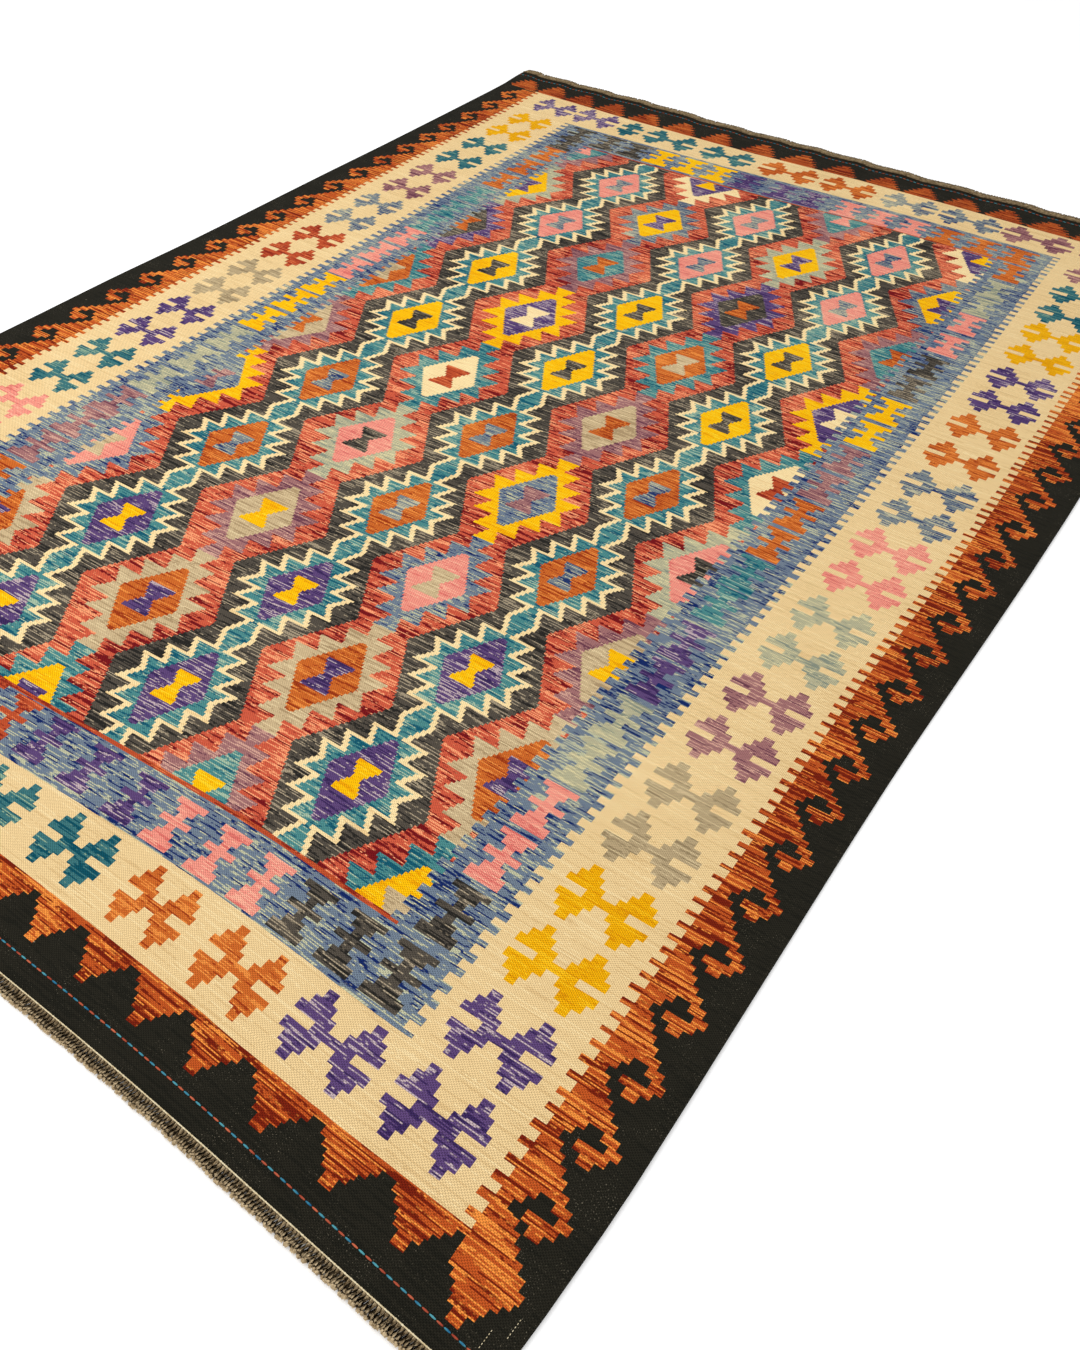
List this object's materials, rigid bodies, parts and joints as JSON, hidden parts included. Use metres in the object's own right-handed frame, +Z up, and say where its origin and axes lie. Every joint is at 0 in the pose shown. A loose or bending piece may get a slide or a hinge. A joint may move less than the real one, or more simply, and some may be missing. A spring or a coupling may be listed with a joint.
{
  "type": "kilim rug",
  "caption": "Large flat-woven wool rug with geometric medallions, patterned borders and a short warp fringe at each end, lying flat on a floor.",
  "frame": {"origin": "on the floor under the middle of the rug's bounding box", "axes": "+X across the rug along the weft, +Y along the rug towards its far end, +Z up from the floor"},
  "size_m": [2.052, 2.956, 0.003],
  "materials": {
    "woven_wool": "matt weft-faced flat weave in hand-dyed wool",
    "warp_yarn": "matt undyed beige-grey yarn"
  },
  "bodies": {
    "root": {"rug_cloth": "woven_wool", "fringe_near": "warp_yarn", "fringe_far": "warp_yarn"}
  },
  "joints": []
}
